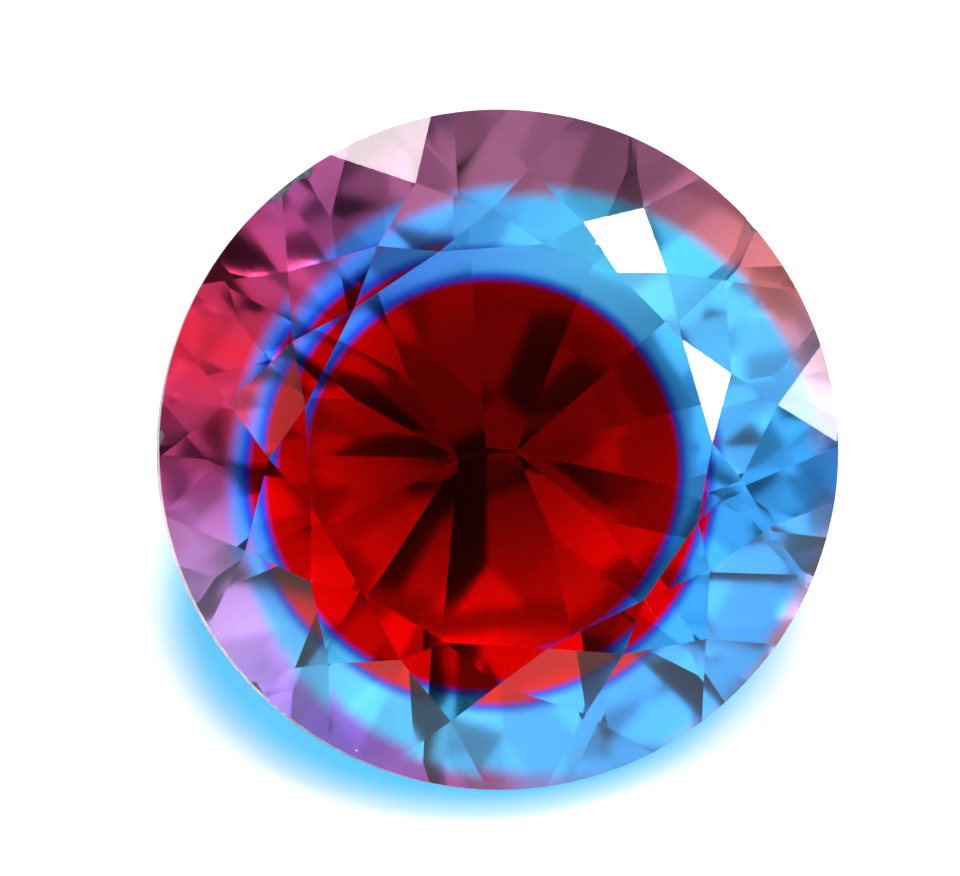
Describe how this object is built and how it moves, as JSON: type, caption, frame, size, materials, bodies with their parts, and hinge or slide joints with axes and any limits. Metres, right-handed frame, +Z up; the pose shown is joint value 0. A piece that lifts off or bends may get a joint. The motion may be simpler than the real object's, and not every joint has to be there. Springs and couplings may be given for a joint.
{
  "type": "round cut sapphire",
  "caption": "Loose round cut gemstone lying on a pavilion facet: wide table, tiered crown of kite and triangle facets, ground girdle and keel culet.",
  "frame": {"origin": "on the surface that the stone lies on, under the middle of its box", "axes": "+Z up from that surface, -Y the way the table faces, so that the table leans back from a viewer who looks along +Y and down"},
  "size_m": [0.012, 0.01, 0.0082],
  "materials": {
    "sapphire": "clear blue and red crystal, mirror polished facets, fine ground girdle"
  },
  "bodies": {
    "root": {"sapphire": "sapphire"}
  },
  "joints": []
}
